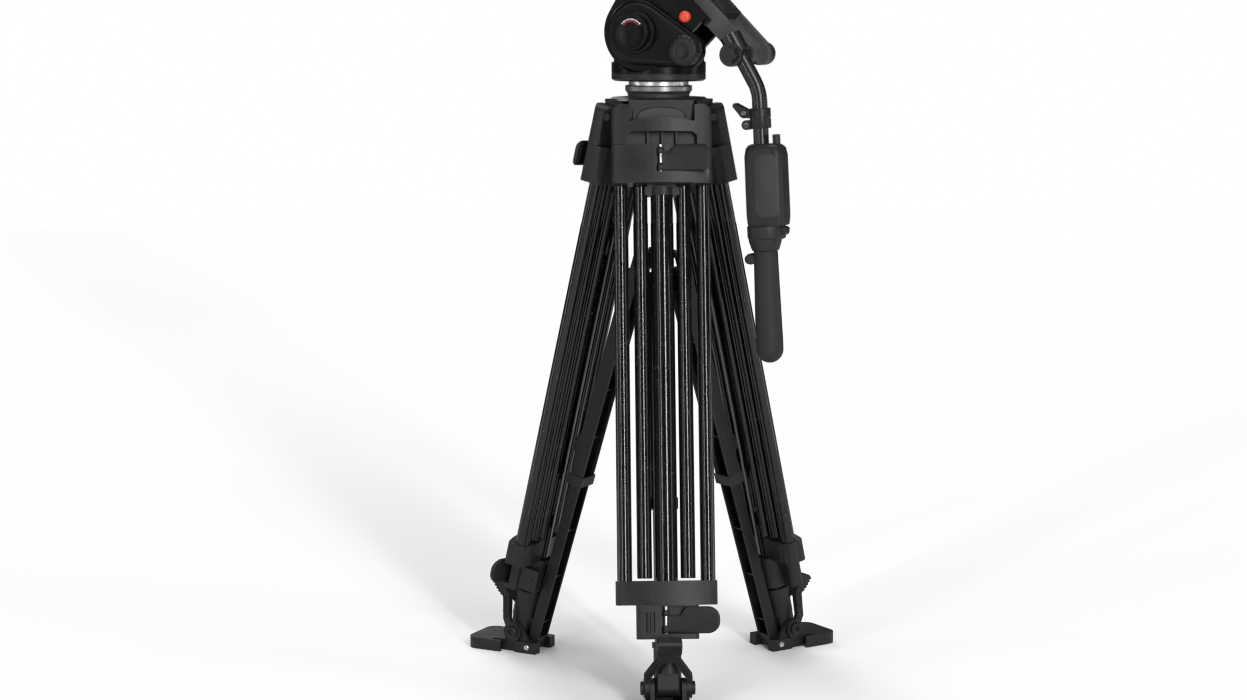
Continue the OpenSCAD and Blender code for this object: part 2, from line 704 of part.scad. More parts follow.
crown();
half_ball();
tie_down_knob();
pan_base();
head_body();
side_covers();
drag_dial();
lock_knob();
cradle();
camera_plate();
release_button();
pan_bar();
rosette_knob();
remote_clamp();
remote_housing();
zoom_wheel();
grip();
spreader_hub();
leg_bracket(front);  // leg_bracket_front
leg_bracket(right);  // leg_bracket_right
leg_bracket(left);  // leg_bracket_left
upper_tubes(front);  // upper_tubes_front
upper_tubes(right);  // upper_tubes_right
upper_tubes(left);  // upper_tubes_left
top_clamp(front);  // top_clamp_front
top_clamp(right);  // top_clamp_right
top_clamp(left);  // top_clamp_left
top_lever(front);  // top_lever_front
top_lever(right);  // top_lever_right
top_lever(left);  // top_lever_left
middle_tubes(front);  // middle_tubes_front
middle_tubes(right);  // middle_tubes_right
middle_tubes(left);  // middle_tubes_left
lower_clamp(front);  // lower_clamp_front
lower_clamp(right);  // lower_clamp_right
lower_clamp(left);  // lower_clamp_left
lower_lever(front);  // lower_lever_front
lower_lever(right);  // lower_lever_right
lower_lever(left);  // lower_lever_left
inner_tube(front);  // inner_tube_front
inner_tube(right);  // inner_tube_right
inner_tube(left);  // inner_tube_left
ankle(front);  // ankle_front
ankle(right);  // ankle_right
ankle(left);  // ankle_left
shoe(front);  // shoe_front
shoe(right);  // shoe_right
shoe(left);  // shoe_left
pedal(front);  // pedal_front
pedal(right);  // pedal_right
pedal(left);  // pedal_left
arm_lower(front);  // arm_lower_front
arm_lower(right);  // arm_lower_right
arm_lower(left);  // arm_lower_left
arm_upper(front);  // arm_upper_front
arm_upper(right);  // arm_upper_right
arm_upper(left);  // arm_upper_left
arm_knob(front);  // arm_knob_front
arm_knob(right);  // arm_knob_right
arm_knob(left);  // arm_knob_left
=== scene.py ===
import json
import math

import bmesh
import bpy
from mathutils import Matrix, Vector
from mathutils.geometry import convex_hull_2d


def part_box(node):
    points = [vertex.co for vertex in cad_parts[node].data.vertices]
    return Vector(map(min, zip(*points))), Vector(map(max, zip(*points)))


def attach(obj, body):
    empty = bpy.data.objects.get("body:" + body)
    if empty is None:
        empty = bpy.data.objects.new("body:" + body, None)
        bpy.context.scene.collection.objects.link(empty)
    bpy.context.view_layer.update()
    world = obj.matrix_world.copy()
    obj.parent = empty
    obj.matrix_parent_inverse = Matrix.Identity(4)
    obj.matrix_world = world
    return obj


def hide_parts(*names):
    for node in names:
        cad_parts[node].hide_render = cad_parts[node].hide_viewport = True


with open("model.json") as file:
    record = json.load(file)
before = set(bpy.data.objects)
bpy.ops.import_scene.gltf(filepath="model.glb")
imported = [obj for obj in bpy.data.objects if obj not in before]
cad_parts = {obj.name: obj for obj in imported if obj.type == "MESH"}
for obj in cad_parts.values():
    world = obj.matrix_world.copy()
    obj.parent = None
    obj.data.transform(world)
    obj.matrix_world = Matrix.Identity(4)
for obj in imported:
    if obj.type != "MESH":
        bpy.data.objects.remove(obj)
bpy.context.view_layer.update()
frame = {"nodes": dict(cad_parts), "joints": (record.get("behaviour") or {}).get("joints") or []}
NODES = frame["nodes"]
JOINTS = {j["name"]: j for j in frame["joints"]}
SIDES = ("front", "right", "left")
MM = 0.001
TAU = 2 * math.pi


# ---------------------------------------------------------------- local axes, taken from the record's joints

def axes(origin, x=None, y=None, z=None):
    """A placement in the row frame from an origin and two of its three axes."""
    x, y, z = (Vector(a).normalized() if a is not None else None for a in (x, y, z))
    if x is None:
        x = y.cross(z)
    if y is None:
        y = z.cross(x)
    if z is None:
        z = x.cross(y)
    place = Matrix((x, y, z)).transposed().to_4x4()
    place.translation = Vector(origin)
    return place


def joint_axis(name, sign=1):
    return sign * Vector(JOINTS[name]["axis"])


def joint_at(name):
    return Vector(JOINTS[name]["pos_m"])


def leg_joint(kind, side):
    return kind if side == "front" else f"{kind}_{side}"


# Leg: X across, -Y outwards, -Z down the leg. Foot: same, upright. Arm: Z up the arm, from the shoe's hinge.
LEG, FOOT, ARM = {}, {}, {}
for side in SIDES:
    across = joint_axis(leg_joint("leg_spread", side), -1)
    LEG[side] = axes(joint_at(leg_joint("leg_spread", side)), x=across,
                     z=joint_axis(leg_joint("upper_extend", side), -1))
    FOOT[side] = axes((joint_at("pan").x, joint_at("pan").y, 0), x=across, z=(0, 0, 1))
    ARM[side] = axes(joint_at(f"arm_fold_{side}"), x=across, z=joint_axis(f"arm_extend_{side}"))
# Head: X to the rear, -Y to the dial's side. Cradle: origin on the tilt axis. Handle: -Z down the grip.
HEAD = axes(joint_at("pan"), y=joint_axis("tilt", -1), z=(0, 0, 1))
CRADLE = axes(joint_at("tilt"), x=joint_axis("plate_slide"), y=joint_axis("tilt", -1))
HANDLE = axes((0, 0, 0), y=joint_axis("tilt", -1), z=joint_axis("clamp_slide", -1))
WHEEL_X, WHEEL_Z = -17, -173
HANDLE.translation = joint_at("zoom_rock") - HANDLE.to_3x3() @ (Vector((WHEEL_X, 0, WHEEL_Z)) * MM)


# ---------------------------------------------------------------- materials

class Paint:
    """A principled material with a few shorthands for its node graph."""

    def __init__(self, name):
        self.material = bpy.data.materials.new(name)
        self.material.use_nodes = True
        self.nodes = self.material.node_tree.nodes
        self.links = self.material.node_tree.links
        self.shader = self.nodes["Principled BSDF"]
        self.coords = self.add("TexCoord").outputs["Object"]

    def add(self, kind, inputs=None, **settings):
        node = self.nodes.new("ShaderNode" + kind)
        for key, value in settings.items():
            setattr(node, key, value)
        for key, value in (inputs or {}).items():
            self.feed(node.inputs[key], value)
        return node

    def feed(self, socket, value):
        if isinstance(value, bpy.types.NodeSocket):
            self.links.new(value, socket)
        else:
            socket.default_value = value

    def noise(self, scale, detail=3, rough=0.55, vector=None):
        return self.add("TexNoise", {"Vector": vector or self.coords, "Scale": scale, "Detail": detail,
                                     "Roughness": rough}).outputs["Fac"]

    def ramp(self, value, low, high, to_low=0.0, to_high=1.0):
        return self.add("MapRange", {"Value": value, "From Min": low, "From Max": high, "To Min": to_low,
                                     "To Max": to_high}).outputs["Result"]

    def math(self, operation, a, b=0.0):
        return self.add("Math", {0: a, 1: b}, operation=operation, use_clamp=True).outputs[0]

    def mix(self, factor, a, b):
        node = self.add("Mix", data_type="RGBA")
        self.feed(node.inputs[0], factor)
        self.feed(node.inputs[6], a)
        self.feed(node.inputs[7], b)
        return node.outputs[2]

    def bump(self, height, strength, distance, under=None):
        inputs = {"Height": height, "Strength": strength, "Distance": distance}
        if under is not None:
            inputs["Normal"] = under
        return self.add("Bump", inputs).outputs["Normal"]

    def set(self, **values):
        for key, value in values.items():
            self.feed(self.shader.inputs[key.replace("_", " ")], value)
        return self.material


def rgb(value):
    return (*value, 1.0) if isinstance(value, (tuple, list)) else (value, value, value * 1.03, 1.0)


RUBBED_EDGE = 0.22
DUST_SPECK = 0.5
SCRATCH = 0.42
EDGE_RADIUS = 0.0009


def coated(name, base, rough, grain=1400, grain_depth=0.25, lift=1.5, wear=0.35, dust=0.25, specular=0.5,
           scratches=0.0, stretch=None, waves=0.06):
    """Painted or moulded surface: fine grain, uneven sheen, rubbed edges, dust specks, fine scratches."""
    p = Paint(name)
    blotch = p.noise(38, 4)
    fine = p.noise(grain, 2, 0.6)
    cloudy = p.mix(p.ramp(blotch, 0.3, 0.75), rgb(base), rgb(tuple(c * lift for c in rgb(base)[:3])))
    rounded = p.add("Bevel", {"Radius": EDGE_RADIUS}, samples=3).outputs["Normal"]
    flat = p.add("NewGeometry").outputs["Normal"]
    turn = p.add("VectorMath", {0: rounded, 1: flat}, operation="DOT_PRODUCT").outputs["Value"]
    edge = p.math("MULTIPLY", p.ramp(turn, 0.985, 0.85), p.ramp(p.noise(160, 3), 0.42, 0.68, 0.0, wear))
    colour = p.mix(edge, cloudy, rgb(RUBBED_EDGE))
    speck = p.math("MULTIPLY", p.ramp(p.noise(900, 1), 0.70, 0.76),
                   p.ramp(p.noise(60, 3), 0.45, 0.65, 0.0, dust))
    colour = p.mix(speck, colour, rgb(DUST_SPECK))
    if scratches:
        streaked = p.add("Mapping", {"Vector": p.coords, "Rotation": stretch, "Scale": (1, 1, 34)},
                         vector_type="TEXTURE").outputs[0]
        lines = p.ramp(p.noise(1300, 2, 0.5, streaked), 0.66, 0.72)
        worn = p.math("MULTIPLY", lines, p.ramp(p.noise(24, 3), 0.48, 0.66, 0.0, scratches))
        colour = p.mix(worn, colour, rgb(SCRATCH))
    height = p.bump(fine, grain_depth, 0.0002, p.bump(blotch, waves, 0.001))
    sheen = p.ramp(blotch, 0.3, 0.7, rough * 0.88, min(1, rough * 1.15))
    return p.set(Base_Color=colour, Roughness=sheen, Specular_IOR_Level=specular, Normal=height)


def turned_metal(name, base, rough):
    """Bright or blasted metal with faint turning marks and tarnish."""
    p = Paint(name)
    tarnish = p.noise(70, 4)
    marks = p.noise(2400, 1)
    return p.set(Base_Color=p.mix(p.ramp(tarnish, 0.35, 0.75), rgb(base), rgb(base * 0.72)), Metallic=1.0,
                 Roughness=p.ramp(tarnish, 0.3, 0.7, rough * 0.8, rough * 1.3),
                 Normal=p.bump(marks, 0.12, 0.0002))


def soft_plastic(name, colour, rough, worn):
    """Coloured moulding, a little faded and smudged."""
    p = Paint(name)
    fade = p.noise(150, 3)
    return p.set(Base_Color=p.mix(p.ramp(fade, 0.35, 0.8), rgb(colour), rgb(worn)),
                 Roughness=p.ramp(fade, 0.3, 0.7, rough * 0.8, rough * 1.2),
                 Normal=p.bump(p.noise(1800, 2), 0.1, 0.0002))


CASTING = coated("casting", 0.011, 0.42, specular=0.32, grain=900, grain_depth=0.55, lift=1.7)
CASTING_DARK = coated("casting_dark", 0.008, 0.40, specular=0.3)
MOULDING = coated("moulding", 0.011, 0.46, specular=0.32, grain=1000, grain_depth=0.5, lift=1.6)
ARM_BLACK = coated("arm_black", 0.007, 0.38, wear=0.5, specular=0.3)
ARM_GREY = coated("arm_grey", 0.014, 0.50, specular=0.3)
HEAD_BLACK = coated("head_black", 0.003, 0.30, grain_depth=0.12, dust=0.15, specular=0.13)
PLATFORM = coated("platform_grey", 0.038, 0.60, grain=700, grain_depth=0.8, lift=1.9, wear=0.6)
STIPPLE = coated("stipple", 0.026, 0.58, grain=950, grain_depth=1.0, lift=1.7)
RUBBER = coated("grip_rubber", 0.015, 0.60, specular=0.3, grain=1500, grain_depth=0.7, lift=1.5, wear=0.1)
BAR_BLACK = coated("bar_black", 0.005, 0.26, grain_depth=0.1, wear=0.2)
PANEL = coated("panel", 0.020, 0.5)
TUBE = {side: coated(f"tube_{side}", 0.003, 0.10, grain_depth=0.02, dust=0.9, wear=0.1, scratches=0.10,
                     waves=0.008, stretch=LEG[side].to_euler()) for side in SIDES}
BRIGHT = turned_metal("bright_metal", 0.80, 0.36)
SCREW_METAL = turned_metal("screw_metal", 0.30, 0.3)
RING_METAL = turned_metal("bowl_metal", 0.26, 0.42)
ORANGE = soft_plastic("button_orange", (0.80, 0.075, 0.022), 0.42, (0.62, 0.07, 0.03))
WHITE_INK = soft_plastic("tick_white", (0.85, 0.85, 0.85), 0.6, (0.6, 0.6, 0.6))
RED_INK = soft_plastic("tick_red", (0.55, 0.02, 0.03), 0.6, (0.4, 0.03, 0.03))


# ---------------------------------------------------------------- mesh building, in millimetres on local axes

BEAD_STEPS = 8
SOFT_ANGLE = 32


class Sculpt:
    """Collects loops of points into one mesh, then becomes a piece that rides on a body."""

    def __init__(self):
        self.bm = bmesh.new()

    def loft(self, rings, closed=False):
        """Joins rings of points; the ends are capped, or joined to each other when closed."""
        loops = [[self.bm.verts.new(p) for p in ring] for ring in rings]
        pairs = list(zip(loops, loops[1:])) + ([(loops[-1], loops[0])] if closed else [])
        for a, b in pairs:
            for k in range(len(a)):
                n = (k + 1) % len(a)
                self.bm.faces.new((a[k], a[n], b[n], b[k]))
        if not closed:
            self.bm.faces.new(loops[0][::-1])
            self.bm.faces.new(loops[-1])
        return self

    def lathe(self, profile, at=Matrix.Identity(4), steps=64, ripple=None):
        """Turns (radius, height) pairs round Z; ripple(radius, height, angle) may change the radius."""
        rings = []
        for r, z in profile:
            ring = []
            for k in range(steps):
                a = TAU * k / steps
                rr = ripple(r, z, a) if ripple else r
                ring.append(at @ Vector((rr * math.cos(a), rr * math.sin(a), z)))
            rings.append(ring)
        return self.loft(rings)

    def plate(self, outline, levels, at=Matrix.Identity(4)):
        """A flat outline lofted through (inset, height) levels, for a plate with softened edges."""
        return self.loft([[at @ Vector((*p, h)) for p in inset(outline, d)] for d, h in levels])

    def bead(self, path, radius, at):
        """A round bead along a closed path of points that lies in a plane across Z."""
        points = [Vector(p) for p in path]
        rings = []
        for k, here in enumerate(points):
            run = (points[(k + 1) % len(points)] - points[k - 1]).normalized()
            out = Vector((0, 0, 1))
            sideways = run.cross(out).normalized()
            rings.append([at @ (here + radius * (c * sideways + d * out))
                          for c, d in circle(1, steps=BEAD_STEPS)])
        return self.loft(rings, closed=True)

    def become(self, name, place, body, material, slot, smooth=38, replaces=()):
        bmesh.ops.recalc_face_normals(self.bm, faces=self.bm.faces)
        self.bm.transform(Matrix.Scale(MM, 4))
        mesh = bpy.data.meshes.new(name)
        self.bm.to_mesh(mesh)
        self.bm.free()
        mesh.polygons.foreach_set("use_smooth", [True] * len(mesh.polygons))
        mesh.set_sharp_from_angle(angle=math.radians(smooth))
        mesh.materials.append(material)
        obj = bpy.data.objects.new(name, mesh)
        bpy.context.scene.collection.objects.link(obj)
        obj.matrix_world = place
        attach(obj, body)
        if replaces:
            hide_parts(*replaces)
        return obj


def soften(obj, width):
    """Rounds a CAD node's edges by a width in millimetres."""
    bevel = obj.modifiers.new("Bevel", "BEVEL")
    bevel.width = width * MM
    bevel.segments = 2
    bevel.limit_method = "ANGLE"
    bevel.angle_limit = math.radians(SOFT_ANGLE)
    bevel.harden_normals = True
    bevel.use_clamp_overlap = True


def inset(outline, distance):
    """Moves every point of an outline inwards by a distance."""
    if not distance:
        return [tuple(p) for p in outline]
    area = sum(a[0] * b[1] - b[0] * a[1] for a, b in zip(outline, outline[1:] + outline[:1]))
    turn = 1 if area > 0 else -1
    moved = []
    for k, p in enumerate(outline):
        a, b = Vector(outline[k - 1]), Vector(outline[(k + 1) % len(outline)])
        run = (b - a).normalized()
        moved.append((p[0] - turn * distance * run.y, p[1] + turn * distance * run.x))
    return moved


def circle(r, x=0.0, y=0.0, steps=32):
    return [(x + r * math.cos(TAU * k / steps), y + r * math.sin(TAU * k / steps)) for k in range(steps)]


def hull(*groups):
    points = [p for g in groups for p in g]
    return [points[k] for k in convex_hull_2d(points)]


def rounded_box(w, h, r, steps=6, x=0.0, y=0.0):
    outline = []
    for quarter, (cx, cy) in enumerate(((1, 1), (-1, 1), (-1, -1), (1, -1))):
        for k in range(steps + 1):
            a = math.pi / 2 * (quarter + k / steps)
            outline.append((x + cx * (w / 2 - r) + r * math.cos(a),
                            y + cy * (h / 2 - r) + r * math.sin(a)))
    return outline


def turned(x=0.0, y=0.0, z=0.0, axis="Y", sign=1):
    """Placement whose Z runs along the local X or Y axis, for lathed parts and side plates."""
    spin = Matrix.Rotation(sign * math.pi / 2, 4, "Y") if axis == "X" else Matrix.Rotation(
        -sign * math.pi / 2, 4, "X")
    return Matrix.Translation((x, y, z)) @ spin


def smoothstep(t):
    t = max(0.0, min(1.0, t))
    return t * t * (3 - 2 * t)


# ---------------------------------------------------------------- CAD nodes: soft edges and materials

WELD_REACH = 0.00001
FLAT_ANGLE = 0.5
GUIDE_CAP_END = -90
COLLAR_TOP = 222.5


def dress(node, materials, bevel, rule=None):
    """Gives a CAD node its materials and rounded edges. rule(centre) picks the material by position."""
    obj = NODES[node]
    mesh = obj.data
    mesh.materials.clear()
    for m in materials:
        mesh.materials.append(m)
    picks = [rule(p.center) if rule else 0 for p in mesh.polygons]
    mesh.polygons.foreach_set("material_index", picks)
    mesh.polygons.foreach_set("use_smooth", [True] * len(mesh.polygons))
    if "custom_normal" in mesh.attributes:
        mesh.attributes.remove(mesh.attributes["custom_normal"])
    weld = obj.modifiers.new("Weld", "WELD")
    weld.merge_threshold = WELD_REACH
    flat = obj.modifiers.new("Flat", "DECIMATE")
    flat.decimate_type = "DISSOLVE"
    flat.angle_limit = math.radians(FLAT_ANGLE)
    flat.delimit = {"MATERIAL"}
    soften(obj, bevel)


def local(place, point):
    """A row frame point in millimetres on local axes."""
    return (place.inverted() @ point) / MM


def dress_leg(side):
    leg, arm = LEG[side], ARM[side]
    dress(f"leg_bracket_{side}", [CASTING], 1.1)
    dress(f"top_clamp_{side}", [CASTING], 1.0)
    dress(f"lower_clamp_{side}", [CASTING], 0.9)
    dress(f"upper_tubes_{side}", [TUBE[side]], 0.3)
    dress(f"middle_tubes_{side}", [TUBE[side]], 0.3)
    dress(f"inner_tube_{side}", [TUBE[side], MOULDING], 0.3,
          rule=lambda c: int(local(leg, c).z > GUIDE_CAP_END))
    dress(f"ankle_{side}", [MOULDING], 0.7)
    dress(f"shoe_{side}", [MOULDING], 1.2)
    dress(f"pedal_{side}", [MOULDING], 0.8)
    dress(f"arm_lower_{side}", [ARM_BLACK], 0.4)
    dress(f"arm_upper_{side}", [ARM_BLACK, ARM_GREY], 0.5,
          rule=lambda c: int(local(arm, c).z < COLLAR_TOP))
    dress(f"arm_knob_{side}", [MOULDING], 0.7)


PLATFORM_BOTTOM = 57.5
PLATFORM_HALF = 32.6
RING_TALL = 0.0125
RING_RADIUS = 0.0385


def on_platform(centre):
    """1 for the cradle's faces that belong to its grey platform, 0 for the black drum and lugs."""
    at = local(CRADLE, centre)
    return int(at.z > PLATFORM_BOTTOM and abs(at.y) < PLATFORM_HALF)


def on_ring(centre):
    """1 for the crown's faces that belong to the bowl's metal ring."""
    axis = joint_at("pan")
    return int(centre.z > axis.z - RING_TALL and (centre - axis).xy.length < RING_RADIUS)


def dress_head():
    dress("crown", [CASTING, RING_METAL], 0.7, rule=on_ring)
    dress("half_ball", [BRIGHT], 0.3)
    dress("tie_down_knob", [MOULDING], 0.9)
    dress("pan_base", [CASTING], 0.6)
    dress("head_body", [HEAD_BLACK], 0.9)
    dress("cradle", [HEAD_BLACK, PLATFORM], 1.0, rule=on_platform)
    dress("camera_plate", [CASTING_DARK], 0.8)
    dress("pan_bar", [BAR_BLACK], 0.5)
    dress("rosette_knob", [CASTING_DARK], 0.8)
    dress("spreader_hub", [CASTING_DARK], 0.6)


# ---------------------------------------------------------------- legs

# Flip levers on the leg's axes: hinge and tip in plan, then heights, the low neck by the hinge (how far down
# and how far out it goes), the radii of the paddle's lower and upper corners, and the pin's ends.
LEVERS = {
    "top": dict(hinge=(-2, -22.5), tip=(50, -31), low=-64, high=-35, neck=(7, 14), corners=(5, 9),
                pin=(-67.8, -34.2)),
    "lower": dict(hinge=(-2, -17.5), tip=(54, -27), low=-574, high=-545, neck=(9, 20), corners=(13, 13),
                  pin=(-576.6, -542.4)),
}
PADDLE_RINGS = 40
PADDLE_POINTS = 36
NECK_BLEND = 7
TIP_BLEND = 3
KNUCKLE_R = 3.8
PIN_R = 1.75


def superellipse(a, power):
    """Cosine and sine with their corners pushed out, for a cross-section between an oval and a box."""
    return [math.copysign(abs(v) ** e, v) for v, e in zip((math.cos(a), math.sin(a)), power)]


def corner_cut(x, end_x, r):
    """How far a corner of radius r at end_x cuts into the paddle's edge at x."""
    return r - math.sqrt(max(0.0, r ** 2 - max(0.0, x - (end_x - r)) ** 2))


def paddle(lever):
    """Rings of the lever from its hinge to its rounded end."""
    (hinge_x, hinge_y), (tip_x, tip_y) = lever["hinge"], lever["tip"]
    low, high, (neck_drop, neck_end) = lever["low"], lever["high"], lever["neck"]
    start, end = hinge_x + 1.2, tip_x + 2.2
    rings = []
    for k in range(PADDLE_RINGS + 1):
        u = math.sin(math.pi / 2 * k / PADDLE_RINGS)
        x = start + (end - start) * u
        low_cut, high_cut = (corner_cut(x, end, r) for r in lever["corners"])
        top = high - neck_drop * (1 - smoothstep((x - neck_end + NECK_BLEND) / NECK_BLEND)) - high_cut
        bottom = low + low_cut
        y = hinge_y + (tip_y - hinge_y) * u ** 1.25
        past = max(0.0, x - (end - TIP_BLEND)) / TIP_BLEND
        thick = (6.6 - 2.2 * u) * math.sqrt(max(0.03, 1 - past ** 4))
        middle, half = (top + bottom) / 2, max(0.3, (top - bottom) / 2)
        ring = []
        for j in range(PADDLE_POINTS):
            c, d = superellipse(TAU * j / PADDLE_POINTS, (0.72, 0.42))
            ring.append((x, y + thick / 2 * c, middle + half * d))
        rings.append(ring)
    return rings


def flip_lever(kind, side):
    """A lever with its two knuckles, and the steel pin that they turn on."""
    lever = LEVERS[kind]
    low, high, tall = lever["low"], lever["high"], lever["high"] - lever["low"]
    on_hinge = Matrix.Translation((*lever["hinge"], 0))
    s = Sculpt().loft(paddle(lever))
    for a, b in ((low, low + 0.3 * tall), (high - 0.34 * tall, high - lever["neck"][0] * 0.4)):
        s.lathe([(3.0, a), (KNUCKLE_R, a + 0.8), (KNUCKLE_R, b - 0.8), (3.0, b)], on_hinge, 32)
    body = f"{kind}_lever_{side}"
    s.become(f"{kind}_paddle_{side}", LEG[side], body, CASTING, "casting", smooth=50, replaces=(body,))
    a, b = lever["pin"]
    Sculpt().lathe([(1.2, a), (PIN_R, a + 0.5), (PIN_R, b - 0.5), (1.2, b)], on_hinge, 20).become(
        f"{kind}_lever_pin_{side}", LEG[side], f"leg_middle_{side}", BRIGHT, "bright_metal")


CAP_STEPS = 36


def cap_ring(place, radius, z, hexed=False):
    points = []
    for k in range(CAP_STEPS):
        a = TAU * k / CAP_STEPS
        side = math.cos(math.pi / 6) / math.cos((a % (math.pi / 3)) - math.pi / 6) if hexed else 1
        points.append(place @ Vector((radius * side * math.cos(a), radius * side * math.sin(a), z)))
    return points


def socket_cap(s, place, r, tall, hex_r, depth):
    """A round bolt cap with a hexagon recess, its face towards +Z of the placement."""
    s.loft([cap_ring(place, r, 0), cap_ring(place, r, tall - 0.8), cap_ring(place, r - 0.8, tall),
            cap_ring(place, hex_r + 0.5, tall), cap_ring(place, hex_r, tall - 0.3, True),
            cap_ring(place, hex_r, tall - depth, True)])


ANKLE_CAP_X = 26.8
HINGE_END_X = 24.2
ARM_SCREW_Y = -3.6
BADGE_HALF = (27.0, 6.2)


def foot_fittings(side):
    foot = FOOT[side]
    ankle = local(foot, joint_at(f"shoe_swivel_{side}"))
    hinge = local(foot, joint_at(f"arm_fold_{side}"))
    caps = Sculpt()
    pins = Sculpt()
    for sign in (-1, 1):
        socket_cap(caps, turned(sign * ANKLE_CAP_X, ankle.y, ankle.z, "X", sign), 7.4, 3.0, 3.6, 2.4)
        socket_cap(pins, turned(sign * HINGE_END_X, hinge.y, hinge.z, "X", sign), 3.3, 1.1, 1.4, 0.8)
    caps.become(f"ankle_caps_{side}", foot, f"shoe_{side}", CASTING_DARK, "moulding")
    pins.become(f"hinge_pin_ends_{side}", foot, f"shoe_{side}", BRIGHT, "bright_metal")


def arm_screw(side):
    arm = ARM[side]
    knob = local(arm, joint_at(f"arm_knob_turn_{side}"))
    screw = Sculpt()
    socket_cap(screw, turned(0, ARM_SCREW_Y, knob.z, "Y", 1), 3.6, 1.8, 1.9, 1.2)
    screw.become(f"arm_screw_{side}", arm, f"arm_upper_{side}", BRIGHT, "bright_metal")


def badge(side):
    """Blank stippled plate with a raised arched border on each face of the crown."""
    foot = FOOT[side]
    pivot = local(foot, joint_at(leg_joint("leg_spread", side)))
    front = turned(0, pivot.y - 14.4, pivot.z + 4.4, "Y", -1)
    half_w, half_h = BADGE_HALF
    arch = []
    for k in range(29):
        a = math.pi * k / 28
        arch.append((half_w * math.cos(a), max(-half_h, -half_h + (2 * half_h + 1.6) * math.sin(a) ** 0.6)))
    border = Sculpt().bead([(x, y, 0.25) for x, y in arch], 0.75, front)
    border.become(f"badge_border_{side}", foot, "crown", CASTING, "casting", smooth=60)
    panel = Sculpt().plate(inset(arch, 0.8), [(0, 0), (0, 0.2), (0.15, 0.35)], front)
    panel.become(f"badge_panel_{side}", foot, "crown", STIPPLE, "casting")


# ---------------------------------------------------------------- head

COVER_Y = 44.4
KNOB_Y = -54.6
BUTTON_Y = -40.5
PLATE_TOP = 82.0


def side_covers():
    """The raised covers on both sides of the head, with a fine line round the left one."""
    tilt = local(HEAD, joint_at("tilt"))
    knob = local(HEAD, joint_at("lock_knob_turn"))
    big = circle(36, tilt.x, tilt.z, 72)
    outline = hull(big, circle(19, knob.x, knob.z, 48))
    levels = [(0, 0), (0, 5.5), (0.5, 7.4), (1.7, 8.8), (3.6, 9.65), (6.0, 10)]
    s = Sculpt()
    for line, sign in ((outline, -1), (big, 1)):
        s.plate([(x, -sign * z) for x, z in line], levels, turned(0, sign * COVER_Y, 0, "Y", sign))
    s.become("head_covers", HEAD, "head", HEAD_BLACK, "head_black", smooth=60, replaces=("side_covers",))
    line = Sculpt().bead([(x, z, 9.75) for x, z in inset(outline, 5.4)], 0.8, turned(0, -COVER_Y, 0, "Y", -1))
    line.become("cover_line", HEAD, "head", CASTING_DARK, "head_black", smooth=60)


def dial_ticks(name, ink, radius, length, count, spread, place):
    """A row of short strokes along an arc at the top of the dial's face, every third one longer."""
    s = Sculpt()
    for k in range(count):
        a = math.pi / 2 + spread * (2 * k / (count - 1) - 1)
        reach = length * (1.0 if k % 3 == 0 else 0.6)
        along, sideways = Vector((math.cos(a), math.sin(a))), Vector((-math.sin(a), math.cos(a)))
        corners = [along * (radius + e * reach / 2) + sideways * f * 0.55
                   for e, f in ((-1, -1), (1, -1), (1, 1), (-1, 1))]
        s.plate([tuple(c) for c in corners], [(0, 13.9), (0, 14.15)], place)
    s.become(name, HEAD, "drag_dial", ink, "head_black")


def drag_dial():
    tilt = local(HEAD, joint_at("tilt"))
    place = turned(tilt.x, KNOB_Y, tilt.z, "Y", -1)

    def knurl(r, z, a):
        return r + (0.3 * math.cos(36 * a) if 6.4 < z < 13.4 and r > 19 else 0)

    profile = [(23.0, 0), (24, 0.8), (24, 3.6), (23.4, 4.6), (22.2, 5.0), (20.9, 5.0), (20.4, 5.6),
               (20.3, 6.6), (20.2, 13.2), (19.8, 14.4), (19.0, 15.0), (17.4, 15.0), (16.9, 14.3),
               (16.2, 14.0), (2.0, 14.0)]
    Sculpt().lathe(profile, place, 288, knurl).become(
        "dial_body", HEAD, "drag_dial", HEAD_BLACK, "head_black", replaces=("drag_dial",))
    dial_ticks("dial_ticks_white", WHITE_INK, 14.2, 1.9, 15, 0.85, place)
    dial_ticks("dial_ticks_red", RED_INK, 11.8, 1.4, 13, 0.80, place)


def lock_knob():
    at = local(HEAD, joint_at("lock_knob_turn"))
    place = turned(at.x, KNOB_Y, at.z, "Y", -1)

    def flutes(r, z, a):
        return r - (0.55 * (0.5 + 0.5 * math.cos(22 * a)) if r > 13 and z > 2 else 0)

    profile = [(16.6, 0), (17.5, 0.9), (17.5, 8), (17.2, 10.2), (16.2, 12.2), (14.6, 13.3), (12.2, 13.9),
               (9.5, 14.0), (8.9, 13.5), (1.5, 13.2)]
    Sculpt().lathe(profile, place, 176, flutes).become(
        "lock_knob_cap", HEAD, "lock_knob", CASTING_DARK, "casting", replaces=("lock_knob",))


def release_button():
    low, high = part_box("release_button")
    at = local(CRADLE, (low + high) / 2)
    place = turned(at.x, BUTTON_Y, at.z, "Y", -1)
    profile = [(6.4, 0), (6.4, 6.5), (6.1, 7.6), (5.2, 8.8), (3.6, 9.4), (1.2, 9.5)]
    Sculpt().lathe(profile, place, 40).become(
        "button_dome", CRADLE, "release_button", ORANGE, "button", replaces=("release_button",))


